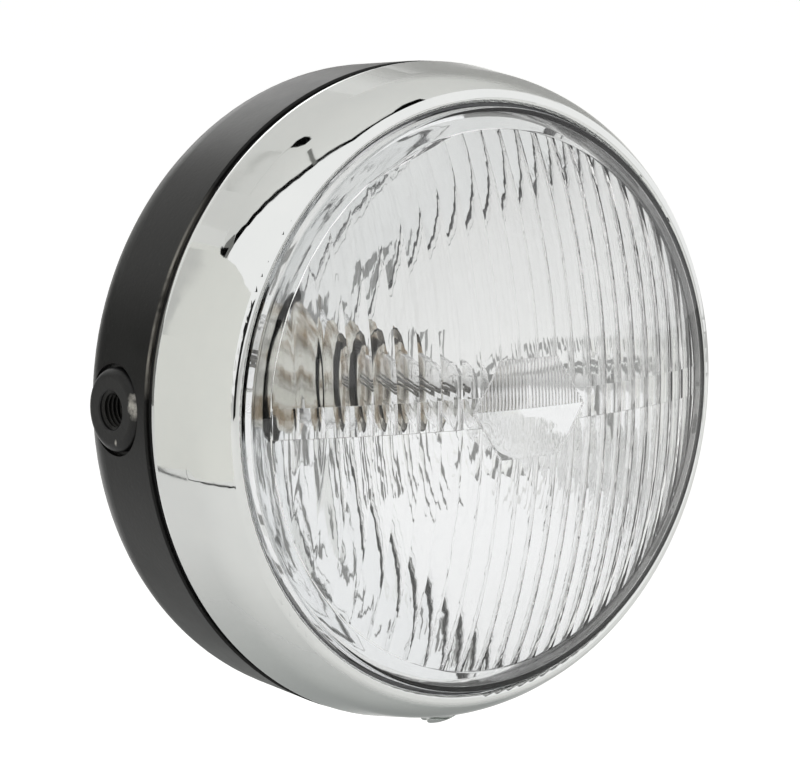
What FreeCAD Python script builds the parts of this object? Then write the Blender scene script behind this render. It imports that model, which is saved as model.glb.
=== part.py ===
"""Motorbike headlight: a chromed rim and fluted glass on a black steel bucket with side threads.

Millimetres. X runs across the bike, Y from the lens (-Y) to the back of the bucket (+Y), Z up.
The origin is the middle of the lamp's depth, on the lamp's axis.
"""
import math
import os

import FreeCAD
import Part

V = FreeCAD.Vector
ORIGIN = V(0, 0, 0)
AXIS_X = V(1, 0, 0)
AXIS_Y = V(0, 1, 0)
AXIS_Z = V(0, 0, 1)

# Whole lamp
lamp_r = 85.1               # radius at the joint between rim and bucket
bucket_depth = 65.7         # from the rear edge of the rim to the back of the bucket
sheet_gap = 0.3             # air left between pieces that only lie against each other
part_gap = 0.1              # air left round a piece in its own hole

# Chromed rim: how far ahead of its rear edge each turn of its section lies, and how far in
rim_wall = 0.9
rim_roll = 2.4              # the rear edge is rolled in over this length
rim_roll_drop = 1.5
rim_roll_bulge = 0.45
rim_taper_ahead = 12.5
rim_taper_drop = 1.4
rim_crease_ahead = 25.15
rim_crease_drop = 6.18
rim_face_bulge = 0.85
rim_nose_ahead = 26.2
rim_nose_drop = 8.2
rim_nose_bulge = 0.28
rim_edge_ahead = 25.3
rim_edge_drop = 9.5
rim_edge_bulge = 0.35

# Rim screw at the bottom, tilted forwards on an oblique seat
screw_ahead = 11.0
screw_tilt_deg = 35.0
screw_sink = 1.4
screw_head_r = 5.0
screw_head_side = 1.4
screw_head_crown = 1.1
screw_slot_w = 1.3
screw_slot_depth = 1.3
screw_shank_r = 2.45
screw_length = 16.0
seat_margin = 1.2
seat_floor = 0.9

# Rubber ring between rim and bucket
gasket_width = 1.7
gasket_recess = 1.2

# Bucket
bucket_wall = 1.2
bucket_side = 21.4
bucket_taper_deg = 4.2
bucket_shoulder_r = 16.0
bucket_lip_round = 0.6
collar_drop = 1.2           # from the inside of the rim to the collar that it slips over
collar_ahead = 5.0

# Side bosses, tapped M10
boss_behind_rim = 17.0
boss_seat_sink = 3.5        # from the bucket's front radius in to the seat
boss_disc_r = 10.65
boss_seat_gap = 1.05
boss_disc_thick = 3.3
boss_disc_round = 2.4
boss_thread_r = 5.0
boss_mouth = 0.3
boss_sleeve_wall = 3.0
boss_sleeve_length = 11.0
boss_nut_wall = 3.0
boss_nut_thick = 6.0

# Glass
glass_edge_ahead = 28.2     # where the dome ends, ahead of the rear edge of the rim
glass_rise = 19.1           # from there to the crown of the dome
glass_thick = 4.0
glass_edge_gap = 1.0        # between the glass and the edge of the rim's lip
glass_flange_lap = 2.0      # how far the flange reaches behind the lip
glass_flange_ahead = 23.6
glass_flange_thick = 3.0
glass_side_wall = 2.0
glass_edge_round = 0.9
field_margin = 4.4
field_step = 0.3
flute_pitch = 5.9
flute_depth = 0.5
band_half = 3.8
band_step = 0.3
band_flute_depth = 0.9
hexagon_width = 35.0
hexagon_height = 24.8
hexagon_edge = 18.0
hexagon_pad = 0.5
rib_pitch = 1.1
rib_depth = 0.3

# Reflector
reflector_focus = 28.0
reflector_wall = 0.8
reflector_mouth_gap = 1.4
collar_hole_r = 13.0
collar_outer_r = 17.0
collar_behind_focus = 33.0

# Tabs that hold the reflector in the rim
tab_count = 6
tab_width = 9.0
tab_thick = 0.8
tab_leg_ahead = 7.5
tab_foot_drop = 2.6
tab_foot = 3.0

# Rim hook at the top of the bucket
hook_width = 12.0
hook_thick = 1.2
hook_tip_ahead = 9.5
hook_root_behind = 10.0

# Screw bracket at the bottom of the bucket
bracket_width = 13.0
bracket_thick = 1.5
bracket_from_seat = 8.0
bracket_reach = 5.5
bracket_root_behind = 13.0

# Main bulb
bulb_flange_inset = 1.0
bulb_flange_thick = 1.5
bulb_neck_wall = 2.0
bulb_neck = 9.0
bulb_glass_r = 8.5
bulb_glass_wall = 0.9
bulb_skirt_r = 11.0
bulb_skirt = 7.0
blade_width = 7.0
blade_thick = 0.8
blade_length = 11.0
blade_offset = 7.0
filament_r = 0.8
filament_length = 5.5
filament_drop = 1.6
filament_apart = 7.5
support_r = 0.35
shield_drop = 2.6           # from the inside of the bulb's glass in to the shield
shield_tip_gap = 0.37       # between the shield's front edge and the bulb's round end
shield_wall = 0.4
shield_length = 8.0

# Ring and rubber boot behind the bulb
retainer_lip_gap = 2.0
retainer_wall = 1.0
retainer_skirt = 4.5
boot_wall = 1.8
boot_back_gap = 2.0
boot_lip = 1.0

# Grommet in the wire hole at the back
grommet_angle_deg = 24.0
grommet_bore_r = 6.0
grommet_wall = 3.0
grommet_lip = 2.5
grommet_lip_thick = 2.2

# Radii that several pieces share
rim_taper_r = lamp_r - rim_taper_drop
rim_edge_r = lamp_r - rim_edge_drop
rim_taper = rim_taper_drop / rim_taper_ahead
collar_r = lamp_r - rim_wall - collar_drop
boss_seat_x = lamp_r - boss_seat_sink
glass_edge_r = rim_edge_r - glass_edge_gap
glass_flange_r = rim_edge_r + glass_flange_lap
glass_inner_edge_r = glass_edge_r - glass_side_wall
glass_dome_r = (glass_edge_r ** 2 + glass_rise ** 2) / (2 * glass_rise)
field_r = glass_inner_edge_r - field_margin
reflector_mouth_r = glass_inner_edge_r - reflector_mouth_gap
boss_seat_r = boss_disc_r + boss_seat_gap
boss_sleeve_r = boss_thread_r + boss_sleeve_wall
bulb_flange_r = collar_outer_r - bulb_flange_inset
bulb_inner_r = bulb_glass_r - bulb_glass_wall
shield_r = bulb_inner_r - shield_drop
grommet_hole_r = grommet_bore_r + grommet_wall

# Planes that several pieces share, with the origin half way from the crown to the back
rim_y = (glass_edge_ahead + glass_rise - bucket_depth) / 2
crown_y = rim_y - glass_edge_ahead - glass_rise
back_y = rim_y + bucket_depth
boss_y = rim_y + boss_behind_rim
bucket_y = rim_y + gasket_width
glass_flange_y = rim_y - glass_flange_ahead
flange_back_y = glass_flange_y + glass_flange_thick
focus_y = flange_back_y - reflector_focus + reflector_mouth_r ** 2 / (4 * reflector_focus)
vertex_y = focus_y + reflector_focus
bulb_y = focus_y + collar_behind_focus
shield_front_y = focus_y - filament_apart - filament_length - support_r


def edge_between(start, end, bulge):
    """A straight edge, or an arc that stands off its chord by bulge, to the left of its run."""
    if bulge == 0:
        return Part.LineSegment(start, end).toShape()
    run = end - start
    side = V(-run.y, run.x, 0).normalize()
    middle = (start + end) * 0.5 + side * bulge
    return Part.Arc(start, middle, end).toShape()


def path(corners):
    """An open wire through corners (radius, y) or (radius, y, bulge of the edge that leaves it)."""
    points = [V(corner[0], corner[1], 0) for corner in corners]
    bulges = [corner[2] if len(corner) > 2 else 0 for corner in corners]
    spans = zip(points, points[1:], bulges)
    return Part.Wire([edge_between(start, end, bulge) for start, end, bulge in spans])


def turned(corners):
    """A solid of revolution about the lamp's axis from a closed outline of corners."""
    return Part.Face(path(corners + [corners[0][:2]])).revolve(ORIGIN, AXIS_Y, 360)


def disc(radius, start, end, centre=ORIGIN):
    """A plain round bar along Y, between two planes."""
    return Part.makeCylinder(radius, end - start, V(centre.x, start, centre.z), AXIS_Y)


def tube(outer, inner, start, end):
    """A plain round tube along Y, between two planes."""
    return disc(outer, start, end).cut(disc(inner, start, end))


def folded_strip(corners, thickness, width):
    """A strip bent along corners (radius, y), thickened to the left of its run, its width along Z."""
    points = [V(radius, y, 0) for radius, y in corners]
    runs = [(end - start).normalize() for start, end in zip(points, points[1:])]
    inner = []
    for index, point in enumerate(points):
        before = runs[max(index - 1, 0)]
        after = runs[min(index, len(runs) - 1)]
        side = V(-before.y - after.y, before.x + after.x, 0).normalize()
        mitre = side.dot(V(-after.y, after.x, 0))
        inner.append(point + side * (thickness / mitre))
    outline = Part.makePolygon(points + inner[::-1] + points[:1])
    outline.translate(V(0, 0, -width / 2))
    return Part.Face(outline).extrude(V(0, 0, width))


def swung(shape, degrees):
    """A copy of a shape, turned about the lamp's axis from +X towards +Z."""
    copy = shape.copy()
    copy.rotate(ORIGIN, AXIS_Y, -degrees)
    return copy


def mirrored_x(shape):
    return shape.mirror(ORIGIN, AXIS_X)


def rim_skin(wall):
    """The rim's section from its rear edge to the edge of its lip, thickened inwards by the wall."""
    wire = path([
        (lamp_r - rim_roll_drop, rim_y + rim_wall, rim_roll_bulge),
        (lamp_r, rim_y - rim_roll),
        (rim_taper_r, rim_y - rim_taper_ahead, rim_face_bulge),
        (lamp_r - rim_crease_drop, rim_y - rim_crease_ahead, rim_nose_bulge),
        (lamp_r - rim_nose_drop, rim_y - rim_nose_ahead, rim_edge_bulge),
        (rim_edge_r, rim_y - rim_edge_ahead)])
    return wire.makeOffset2D(wall, 0, True, True)


def screw_frame(shape):
    """Moves a piece drawn on Z, with Z out of the screw's head, to the oblique seat on the rim."""
    tilt = math.radians(screw_tilt_deg)
    outward = V(0, -math.sin(tilt), -math.cos(tilt))
    surface = V(0, rim_y - screw_ahead, -(lamp_r - rim_taper * screw_ahead))
    placed = shape.copy()
    placed.Placement = FreeCAD.Placement(surface - outward * screw_sink,
                                         FreeCAD.Rotation(AXIS_Z, outward))
    return placed


def make_rim():
    sheet = rim_skin(rim_wall).revolve(ORIGIN, AXIS_Y, 360)
    sheet = sheet.cut(disc(2 * lamp_r, rim_y, rim_y + 2 * rim_wall))
    cup_r = screw_head_r + seat_margin
    pocket_r = screw_head_r + sheet_gap
    reach = 2 * screw_head_r
    cup = Part.makeCylinder(cup_r, seat_floor + reach, V(0, 0, -seat_floor))
    inside = Part.Face(path([
        (0, rim_y), (lamp_r, rim_y),
        (rim_taper_r, rim_y - rim_taper_ahead, rim_face_bulge),
        (lamp_r - rim_crease_drop, rim_y - rim_crease_ahead), (0, rim_y - rim_crease_ahead), (0, rim_y)]))
    inside = inside.revolve(ORIGIN, AXIS_Y, 360)
    floor = Part.makeCylinder(cup_r, seat_floor, V(0, 0, -seat_floor))
    seat = screw_frame(cup).common(inside).fuse(screw_frame(floor))
    pocket = Part.makeCylinder(pocket_r, reach)
    hole = Part.makeCylinder(screw_shank_r + part_gap, screw_length, V(0, 0, -screw_length))
    return sheet.fuse(seat).cut(screw_frame(pocket)).cut(screw_frame(hole)).removeSplitter()


def make_rim_screw():
    profile = Part.Wire([
        edge_between(ORIGIN, V(screw_head_r, 0, 0), 0),
        edge_between(V(screw_head_r, 0, 0), V(screw_head_r, screw_head_side, 0), 0),
        Part.Arc(V(screw_head_r, screw_head_side, 0),
                 V(screw_head_r * 0.5, screw_head_side + screw_head_crown * 0.75, 0),
                 V(0, screw_head_side + screw_head_crown, 0)).toShape(),
        edge_between(V(0, screw_head_side + screw_head_crown, 0), ORIGIN, 0)])
    head = Part.Face(profile).revolve(ORIGIN, AXIS_Y, 360)
    head.rotate(ORIGIN, AXIS_X, 90)
    top = screw_head_side + screw_head_crown
    slot = Part.makeBox(2 * screw_head_r, screw_slot_w, screw_slot_depth,
                        V(-screw_head_r, -screw_slot_w / 2, top - screw_slot_depth))
    shank = Part.makeCylinder(screw_shank_r, screw_length, V(0, 0, -screw_length))
    return screw_frame(head.cut(slot).fuse(shank))


def make_screw_bracket():
    tilt = math.radians(screw_tilt_deg)
    leg_r = collar_r - bucket_wall - sheet_gap - bracket_width ** 2 / (8 * collar_r)
    seat_depth = bracket_from_seat + screw_sink
    plate_y = rim_y - screw_ahead + seat_depth * math.sin(tilt)
    plate_r = lamp_r - rim_taper * screw_ahead - seat_depth * math.cos(tilt)
    tip = (plate_r - bracket_reach * math.sin(tilt), plate_y - bracket_reach * math.cos(tilt))
    bend = (leg_r, plate_y + (leg_r - plate_r) / math.tan(tilt))
    root = (leg_r, rim_y + bracket_root_behind)
    strip = folded_strip([tip, bend, root], bracket_thick, bracket_width)
    hole = Part.makeCylinder(screw_shank_r + part_gap, screw_length, V(0, 0, -screw_length))
    return swung(strip, -90).cut(screw_frame(hole))


def bucket_section(inset):
    """The bucket's bowl as a solid, its skin set in by inset, open at the bucket's front plane."""
    taper = math.radians(bucket_taper_deg)
    front = V(lamp_r, bucket_y, 0)
    turn = front + V(-math.sin(taper), math.cos(taper), 0) * bucket_side
    shoulder = turn - V(math.cos(taper), math.sin(taper), 0) * bucket_shoulder_r
    depth = back_y - shoulder.y
    dome_r = (depth ** 2 + shoulder.x ** 2 - bucket_shoulder_r ** 2) / (2 * (depth - bucket_shoulder_r))
    dome = V(0, back_y - dome_r, 0)
    outward = (shoulder - dome).normalize()
    skin = bucket_shoulder_r - inset
    start = V(math.cos(taper), math.sin(taper), 0)
    mid = (start + outward).normalize()
    lean = V(0, 1, 0) + outward
    lean.normalize()
    edges = [
        Part.LineSegment(V(0, bucket_y, 0), front - start * inset).toShape(),
        Part.LineSegment(front - start * inset, shoulder + start * skin).toShape(),
        Part.Arc(shoulder + start * skin, shoulder + mid * skin, shoulder + outward * skin).toShape(),
        Part.Arc(shoulder + outward * skin, dome + lean * (dome_r - inset),
                 dome + AXIS_Y * (dome_r - inset)).toShape(),
        Part.LineSegment(dome + AXIS_Y * (dome_r - inset), V(0, bucket_y, 0)).toShape()]
    return Part.Face(Part.Wire(edges)).revolve(ORIGIN, AXIS_Y, 360), dome, dome_r


def along_x(radius, start, end):
    """A round bar along X at the side threads."""
    return Part.makeCylinder(radius, end - start, V(start, boss_y, 0), AXIS_X)


def grommet_frame(shape):
    """Moves a piece drawn on Z, with Z out of the bucket, to the wire hole on the bucket's dome."""
    dome, dome_r = bucket_section(0)[1:]
    angle = math.radians(grommet_angle_deg)
    outward = V(0, math.cos(angle), -math.sin(angle))
    placed = shape.copy()
    placed.Placement = FreeCAD.Placement(dome + outward * dome_r, FreeCAD.Rotation(AXIS_Z, outward))
    return placed


def make_bucket():
    outer = bucket_section(0)[0]
    lip_edges = [edge for edge in outer.Edges
                 if len(edge.Vertexes) == 1 and abs(edge.CenterOfMass.y - bucket_y) < 1e-6]
    outer = outer.makeFillet(min(bucket_lip_round, 0.8 * bucket_wall), lip_edges)
    inner = bucket_section(bucket_wall)[0]
    cup_r = boss_seat_r + bucket_wall
    for side in (1, -1):
        cup = along_x(cup_r, boss_seat_x - bucket_wall, lamp_r)
        pocket = along_x(boss_seat_r, boss_seat_x, 2 * lamp_r)
        hole = along_x(boss_sleeve_r + part_gap, boss_seat_x - 2 * cup_r, 2 * lamp_r)
        if side < 0:
            cup = mirrored_x(cup)
            pocket = mirrored_x(pocket)
            hole = mirrored_x(hole)
        inner = inner.cut(cup)
        outer = outer.cut(pocket).cut(hole)
    collar = turned([
        (collar_r, bucket_y + bucket_wall), (collar_r, rim_y - collar_ahead),
        (collar_r - bucket_wall, rim_y - collar_ahead), (collar_r - bucket_wall, bucket_y + bucket_wall)])
    step = tube(lamp_r - bucket_wall, collar_r - bucket_wall, bucket_y, bucket_y + bucket_wall)
    wire_hole = Part.makeCylinder(grommet_hole_r, 4 * bucket_wall, V(0, 0, -3 * bucket_wall))
    bucket = outer.cut(inner).fuse(step).fuse(collar).cut(grommet_frame(wire_hole))
    return bucket.removeSplitter()


def make_boss():
    disc_end = boss_seat_x + boss_disc_thick
    body = along_x(boss_disc_r, boss_seat_x, disc_end)
    rim_edges = [edge for edge in body.Edges
                 if abs(edge.CenterOfMass.x - disc_end) < 1e-6 and len(edge.Vertexes) == 1]
    body = body.makeFillet(boss_disc_round, rim_edges)
    body = body.fuse(along_x(boss_sleeve_r, boss_seat_x - boss_sleeve_length, boss_seat_x))
    body = body.cut(along_x(boss_thread_r, boss_seat_x - boss_sleeve_length, disc_end))
    mouth = Part.makeCone(boss_thread_r, boss_thread_r + boss_mouth, boss_mouth,
                          V(disc_end - boss_mouth, boss_y, 0), AXIS_X)
    return body.cut(mouth).removeSplitter()


def make_boss_nut():
    corner_r = 2 * (boss_sleeve_r + boss_nut_wall) / math.sqrt(3)
    face_x = boss_seat_x - bucket_wall
    corners = []
    for index in range(7):
        angle = math.radians(60 * index + 30)
        corners.append(V(face_x - boss_nut_thick, boss_y + corner_r * math.cos(angle),
                         corner_r * math.sin(angle)))
    nut = Part.Face(Part.makePolygon(corners)).extrude(AXIS_X * boss_nut_thick)
    return nut.cut(along_x(boss_sleeve_r + part_gap, face_x - boss_nut_thick, face_x))


def make_rim_gasket():
    return tube(lamp_r - gasket_recess, collar_r + part_gap, rim_y, bucket_y)


def make_rim_hook():
    leg_r = collar_r - bucket_wall - sheet_gap - hook_width ** 2 / (8 * collar_r)
    tip_r = lamp_r - rim_wall - rim_taper_drop - sheet_gap
    tip = (tip_r - hook_width ** 2 / (8 * collar_r), rim_y - hook_tip_ahead)
    bend = (leg_r, rim_y - hook_tip_ahead)
    root = (leg_r, rim_y + hook_root_behind)
    return swung(folded_strip([root, bend, tip], -hook_thick, hook_width), 90)


def scalloped_core(rho, pitch, depth, half_count):
    """A barrel about the glass dome's cross axis whose front is scalloped into upright flutes."""
    centre_y = crown_y + glass_dome_r
    edges = []
    last = None
    for index in range(-half_count, half_count + 1):
        left = (index - 0.5) * pitch
        right = (index + 0.5) * pitch
        start = V(left, centre_y - math.sqrt(rho ** 2 - left ** 2), 0)
        end = V(right, centre_y - math.sqrt(rho ** 2 - right ** 2), 0)
        middle = V(index * pitch, centre_y - math.sqrt(rho ** 2 - (index * pitch) ** 2) - depth, 0)
        edges.append(Part.Arc(start, middle, end).toShape())
        last = end
    first = edges[0].valueAt(edges[0].FirstParameter)
    flat_y = centre_y - rho / 2
    rim_points = [last, V(last.x, flat_y, 0), V(first.x, flat_y, 0), first]
    edges += [edge_between(a, b, 0) for a, b in zip(rim_points, rim_points[1:])]
    sweep = 2 * math.degrees(math.asin(min(0.9, glass_flange_r / rho)))
    face = Part.Face(Part.Wire(edges))
    centre = V(0, centre_y, 0)
    face.rotate(centre, AXIS_X, -sweep / 2)
    return face.revolve(centre, AXIS_X, sweep)


def hexagon_prism(lowest):
    """The hexagon field's outline as a prism through the glass, cut off below a height."""
    half_w = hexagon_width / 2
    half_h = hexagon_height / 2
    half_e = hexagon_edge / 2
    corners = [V(-half_w, 0, 0), V(-half_e, 0, half_h), V(half_e, 0, half_h), V(half_w, 0, 0)]
    if lowest < 0:
        corners += [V(half_e, 0, -half_h), V(-half_e, 0, -half_h)]
    corners.append(corners[0])
    face = Part.Face(Part.makePolygon(corners))
    face.translate(V(0, crown_y, 0))
    return face.extrude(AXIS_Y * 4 * glass_thick)


def make_lens():
    centre = V(0, crown_y + glass_dome_r, 0)
    inner_r = glass_dome_r - glass_thick - field_step
    edge_y = centre.y - math.sqrt(glass_dome_r ** 2 - glass_edge_r ** 2)
    inner_y = centre.y - math.sqrt(inner_r ** 2 - glass_inner_edge_r ** 2)
    outer_mid = glass_edge_r / 2
    inner_mid = glass_inner_edge_r / 2
    edges = [
        Part.Arc(V(0, crown_y, 0), V(outer_mid, centre.y - math.sqrt(glass_dome_r ** 2 - outer_mid ** 2), 0),
                 V(glass_edge_r, edge_y, 0)).toShape()]
    back = [V(glass_edge_r, edge_y, 0), V(glass_edge_r, glass_flange_y, 0),
            V(glass_flange_r, glass_flange_y, 0), V(glass_flange_r, flange_back_y, 0),
            V(glass_inner_edge_r, flange_back_y, 0), V(glass_inner_edge_r, inner_y, 0)]
    edges += [edge_between(a, b, 0) for a, b in zip(back, back[1:])]
    edges.append(Part.Arc(back[-1], V(inner_mid, centre.y - math.sqrt(inner_r ** 2 - inner_mid ** 2), 0),
                          V(0, centre.y - inner_r, 0)).toShape())
    edges.append(edge_between(V(0, centre.y - inner_r, 0), V(0, crown_y, 0), 0))
    glass = Part.Face(Part.Wire(edges)).revolve(ORIGIN, AXIS_Y, 360)
    dome_edges = [edge for edge in glass.Edges
                  if len(edge.Vertexes) == 1 and abs(edge.CenterOfMass.y - edge_y) < 1e-6]
    glass = glass.makeFillet(min(glass_edge_round, 0.8 * glass_side_wall), dome_edges)
    cusp_r = glass_dome_r - glass_thick
    count = int(math.ceil(field_r / flute_pitch))
    field = disc(field_r, crown_y, flange_back_y)
    glass = glass.cut(scalloped_core(cusp_r, flute_pitch, flute_depth, count).common(field))
    strip = Part.makeBox(2 * field_r, flange_back_y - crown_y, 2 * band_half,
                         V(-field_r, crown_y, -band_half)).common(field)
    glass = glass.cut(scalloped_core(cusp_r + band_step, flute_pitch, band_flute_depth, count).common(strip))
    shell = Part.makeSphere(glass_dome_r - glass_thick / 2, centre).cut(
        Part.makeSphere(cusp_r - hexagon_pad, centre))
    glass = glass.fuse(hexagon_prism(-hexagon_height).common(shell))
    rib_count = int(hexagon_width / rib_pitch / 2)
    ribs = scalloped_core(cusp_r - hexagon_pad - rib_depth / 4, rib_pitch, rib_depth, rib_count)
    return glass.cut(ribs.common(hexagon_prism(0))).removeSplitter()


def make_lens_seal():
    lip_inner_y = rim_y - rim_edge_ahead + rim_wall
    return tube(glass_flange_r - part_gap, glass_edge_r + part_gap, lip_inner_y + part_gap, glass_flange_y)


def parabola(start_r, end_r, shift):
    """The reflector's curve between two radii, moved back by shift: a parabola is a three-pole curve."""
    focal = 4 * reflector_focus
    curve = Part.BezierCurve()
    curve.setPoles([
        V(start_r, vertex_y + shift - start_r ** 2 / focal, 0),
        V((start_r + end_r) / 2, vertex_y + shift - start_r * end_r / focal, 0),
        V(end_r, vertex_y + shift - end_r ** 2 / focal, 0)])
    return curve.toShape()


def make_reflector():
    wall = reflector_wall
    inner = parabola(collar_hole_r, reflector_mouth_r, 0)
    outer = parabola(collar_outer_r, reflector_mouth_r + wall, 1.5 * wall)
    bowl_in = inner.valueAt(inner.LastParameter)
    bowl_out = outer.valueAt(outer.LastParameter)
    corners = [bowl_in, V(bowl_in.x, flange_back_y, 0), V(glass_flange_r, flange_back_y, 0),
               V(glass_flange_r, flange_back_y + wall, 0), V(bowl_out.x, flange_back_y + wall, 0), bowl_out]
    corners = [point for index, point in enumerate(corners)
               if index == 0 or (point - corners[index - 1]).Length > 1e-6]
    hole_front = inner.valueAt(inner.FirstParameter)
    collar_front = outer.valueAt(outer.FirstParameter)
    edges = [inner]
    edges += [edge_between(a, b, 0) for a, b in zip(corners, corners[1:])]
    edges.append(outer)
    rear = [collar_front, V(collar_outer_r, bulb_y, 0), V(collar_hole_r, bulb_y, 0), hole_front]
    edges += [edge_between(a, b, 0) for a, b in zip(rear, rear[1:])]
    return Part.Face(Part.Wire(Part.__sortEdges__(edges))).revolve(ORIGIN, AXIS_Y, 360)


def make_reflector_tabs():
    inner_r = lamp_r - rim_wall - sheet_gap - tab_width ** 2 / (8 * rim_taper_r)
    foot_y = flange_back_y + reflector_wall
    foot_r = glass_flange_r - tab_foot_drop
    tab = folded_strip([
        (inner_r - rim_taper * tab_leg_ahead, rim_y - tab_leg_ahead),
        (inner_r - rim_taper_drop, rim_y - rim_taper_ahead),
        (foot_r + tab_foot, foot_y), (foot_r, foot_y)], -tab_thick, tab_width)
    return Part.makeCompound([swung(tab, 360 * index / tab_count) for index in range(tab_count)])


def make_bulb_glass():
    neck_y = bulb_y - bulb_neck + part_gap
    straight_y = shield_front_y + math.sqrt(bulb_inner_r ** 2 - shield_r ** 2) - shield_tip_gap
    outer = Part.makeSphere(bulb_glass_r, V(0, straight_y, 0)).fuse(disc(bulb_glass_r, straight_y, neck_y))
    inner = Part.makeSphere(bulb_inner_r, V(0, straight_y, 0)).fuse(disc(bulb_inner_r, straight_y, neck_y))
    return outer.cut(inner).removeSplitter()


def make_bulb_base():
    neck_y = bulb_y - bulb_neck
    body = disc(bulb_flange_r, bulb_y, bulb_y + bulb_flange_thick)
    body = body.fuse(disc(bulb_glass_r + bulb_neck_wall, neck_y - bulb_neck / 2, bulb_y))
    body = body.cut(disc(bulb_glass_r + part_gap, neck_y - bulb_neck / 2, neck_y + part_gap))
    skirt = disc(bulb_skirt_r, bulb_y + bulb_flange_thick, bulb_y + bulb_flange_thick + bulb_skirt)
    return body.fuse(skirt).removeSplitter()


def make_bulb_blades():
    start = bulb_y + bulb_flange_thick + bulb_skirt
    upright = Part.makeBox(blade_thick, blade_length, blade_width,
                           V(blade_offset - blade_thick / 2, start, -blade_width / 2))
    level = Part.makeBox(blade_width, blade_length, blade_thick,
                         V(-blade_width / 2, start, blade_offset - blade_thick / 2))
    return Part.makeCompound([upright, mirrored_x(upright), level])


def make_bulb_filaments():
    """Two coils, drawn as bars, each on a pair of support wires that stand on the bulb's base."""
    floor_y = bulb_y - bulb_neck + part_gap
    coils = []
    for place_y, height in ((focus_y, 0), (focus_y - filament_apart, filament_drop)):
        coil = disc(filament_r, place_y - filament_length, place_y, V(0, 0, height))
        for end_y, side in ((place_y - filament_length + filament_r, -1), (place_y - filament_r, 1)):
            across = side * shield_r / 2
            foot = disc(support_r, end_y, floor_y, V(across, 0, height))
            arm = Part.makeCylinder(support_r, abs(across), V(min(0, across), end_y, height), AXIS_X)
            coil = coil.fuse(foot).fuse(arm)
        coils.append(coil.removeSplitter())
    return Part.makeCompound(coils)


def make_bulb_shield():
    """The cup below the dipped filament, on its own stem from the base."""
    front_y = shield_front_y
    bowl = tube(shield_r, shield_r - shield_wall, front_y, front_y + shield_length)
    half = Part.makeBox(2 * shield_r, 2 * shield_length, shield_r,
                        V(-shield_r, front_y - shield_length / 2, -shield_r - filament_r - support_r))
    stem = disc(support_r, front_y + shield_length / 2, bulb_y - bulb_neck + part_gap,
                V(0, 0, -shield_r + shield_wall / 2))
    return bowl.common(half).fuse(stem).removeSplitter()


def make_bulb_retainer():
    flange_back = bulb_y + bulb_flange_thick
    skirt_r = collar_outer_r + sheet_gap
    lip_r = bulb_skirt_r + retainer_lip_gap
    return turned([
        (lip_r, flange_back), (skirt_r, flange_back),
        (skirt_r, flange_back - retainer_skirt), (skirt_r + retainer_wall, flange_back - retainer_skirt),
        (skirt_r + retainer_wall, flange_back + retainer_wall), (lip_r, flange_back + retainer_wall)])


def make_bulb_boot():
    inner_r = collar_outer_r + sheet_gap + retainer_wall + part_gap
    front = bulb_y + bulb_flange_thick - retainer_skirt
    shelf = bulb_y + bulb_flange_thick + retainer_wall + sheet_gap
    back = bulb_y + bulb_flange_thick + bulb_skirt + boot_back_gap
    neck_r = bulb_skirt_r + sheet_gap
    slot_r = bulb_skirt_r - boot_lip
    return turned([
        (inner_r, front), (inner_r, shelf), (neck_r, shelf), (neck_r, back), (slot_r, back),
        (slot_r, back + boot_wall), (neck_r + boot_wall, back + boot_wall),
        (neck_r + boot_wall, shelf + boot_wall, -boot_wall / 4), (inner_r + boot_wall, shelf),
        (inner_r + boot_wall, front)])


def make_wire_grommet():
    """A rubber ring with a groove for the bucket's wall, drawn on Z."""
    lip_r = grommet_hole_r + grommet_lip
    sag = lip_r ** 2 / (2 * bucket_section(0)[2])
    neck_r = grommet_hole_r - part_gap
    profile = Part.Wire(Part.makePolygon([
        V(grommet_bore_r, 0, grommet_lip_thick + part_gap), V(lip_r - 1, 0, grommet_lip_thick + part_gap),
        V(lip_r, 0, part_gap), V(neck_r, 0, part_gap), V(neck_r, 0, -bucket_wall - sag - part_gap),
        V(lip_r, 0, -bucket_wall - sag - part_gap),
        V(lip_r - 1, 0, -bucket_wall - sag - part_gap - grommet_lip_thick),
        V(grommet_bore_r, 0, -bucket_wall - sag - part_gap - grommet_lip_thick),
        V(grommet_bore_r, 0, grommet_lip_thick + part_gap)]))
    return grommet_frame(Part.Face(profile).revolve(ORIGIN, AXIS_Z, 360))


def main():
    right_boss = make_boss()
    right_nut = make_boss_nut()
    parts = {
        "bucket": make_bucket(),
        "left_thread_boss": mirrored_x(right_boss),
        "right_thread_boss": right_boss,
        "boss_nuts": Part.makeCompound([right_nut, mirrored_x(right_nut)]),
        "rim_gasket": make_rim_gasket(),
        "rim": make_rim(),
        "rim_hook": make_rim_hook(),
        "rim_screw": make_rim_screw(),
        "screw_bracket": make_screw_bracket(),
        "lens": make_lens(),
        "lens_seal": make_lens_seal(),
        "reflector": make_reflector(),
        "reflector_tabs": make_reflector_tabs(),
        "bulb_glass": make_bulb_glass(),
        "bulb_base": make_bulb_base(),
        "bulb_blades": make_bulb_blades(),
        "bulb_filaments": make_bulb_filaments(),
        "bulb_shield": make_bulb_shield(),
        "bulb_retainer": make_bulb_retainer(),
        "bulb_boot": make_bulb_boot(),
        "wire_grommet": make_wire_grommet(),
    }
    os.makedirs("parts", exist_ok=True)
    for name, shape in parts.items():
        shape.exportStep("parts/" + name + ".step")
    return parts


if __name__ == "__main__":
    main()
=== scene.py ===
import math

import bmesh
import bpy
from mathutils import Matrix, Vector


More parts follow.
